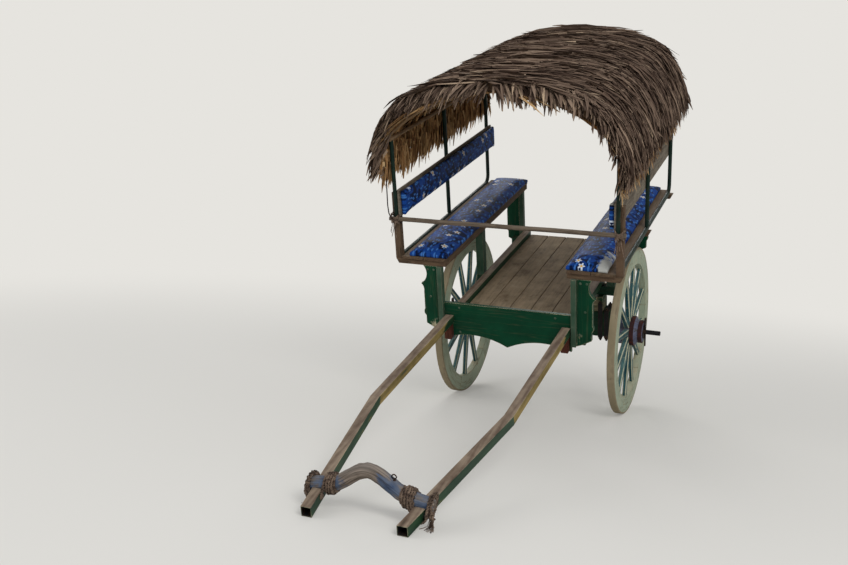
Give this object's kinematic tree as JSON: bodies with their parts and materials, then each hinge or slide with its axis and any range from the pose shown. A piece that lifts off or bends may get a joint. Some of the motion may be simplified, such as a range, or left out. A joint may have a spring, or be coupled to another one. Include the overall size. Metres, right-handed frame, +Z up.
{
  "type": "two-wheeled passenger bullock cart",
  "caption": "Light two-wheeled cart with facing benches over spoked wheels, an arched thatched roof, and two shafts with a yoke for one animal.",
  "frame": {"origin": "centre of the whole part's outline on the ground", "axes": "+Z up, -Y towards the shaft tips, +X towards the cart's left side"},
  "size_m": [1.544, 3.8648, 2.5826],
  "materials": {
    "green_painted_wood": "worn green gloss paint",
    "brown_wood": "weathered bare timber",
    "green_painted_steel": "worn green paint on square steel tube",
    "dark_iron": "dark, greasy and rusty",
    "wheel_wood": "dusty pale green paint, teal spokes",
    "roof_poles": "round poles with the bark off",
    "palm_thatch": "plaited dry palm leaves",
    "blue_vinyl": "flowered blue vinyl cloth",
    "yoke_wood": "grey wood with worn blue paint",
    "rope": "coir rope"
  },
  "bodies": {
    "root": {"axle_bar": "dark_iron", "axle_beam": "green_painted_wood", "axle_washers": "dark_iron", "backrest_boards": "brown_wood", "beam_straps": "dark_iron", "bench_boards": "brown_wood", "bolsters": "brown_wood", "corner_posts": "green_painted_wood", "cross_bearers": "brown_wood", "eave_rails": "roof_poles", "floor_boards": "brown_wood", "front_blocks": "brown_wood", "front_board": "green_painted_wood", "front_corner_boards": "green_painted_wood", "front_poles": "green_painted_steel", "front_posts": "brown_wood", "handrail": "roof_poles", "lashings": "rope", "left_backrest_pad": "blue_vinyl", "left_cushion": "blue_vinyl", "left_shaft": "green_painted_steel", "left_side_bar": "dark_iron", "linchpins": "dark_iron", "middle_posts": "dark_iron", "middle_uprights": "brown_wood", "rear_corner_boards": "green_painted_wood", "rear_step": "brown_wood", "right_backrest_pad": "blue_vinyl", "right_cushion": "blue_vinyl", "right_shaft": "green_painted_steel", "right_side_bar": "dark_iron", "roof_arches": "roof_poles", "roof_laths": "roof_poles", "seat_bearers": "brown_wood", "seat_rails": "brown_wood", "step_hangers": "dark_iron", "thatch": "palm_thatch", "yoke": "yoke_wood", "yoke_eye_bolt": "dark_iron"},
    "left_wheel": {"left_felloes": "wheel_wood", "left_nave": "wheel_wood", "left_spokes": "wheel_wood", "left_tyre_and_bands": "dark_iron"},
    "right_wheel": {"right_felloes": "wheel_wood", "right_nave": "wheel_wood", "right_spokes": "wheel_wood", "right_tyre_and_bands": "dark_iron"}
  },
  "joints": [
    {"name": "left_wheel_spin", "type": "hinge", "parent": "root", "child": "left_wheel", "pos_m": [0.567, 0.94606, 0.55], "axis": [1, 0, 0], "continuous": true},
    {"name": "right_wheel_spin", "type": "hinge", "parent": "root", "child": "right_wheel", "pos_m": [-0.567, 0.94606, 0.55], "axis": [1, 0, 0], "continuous": true}
  ]
}
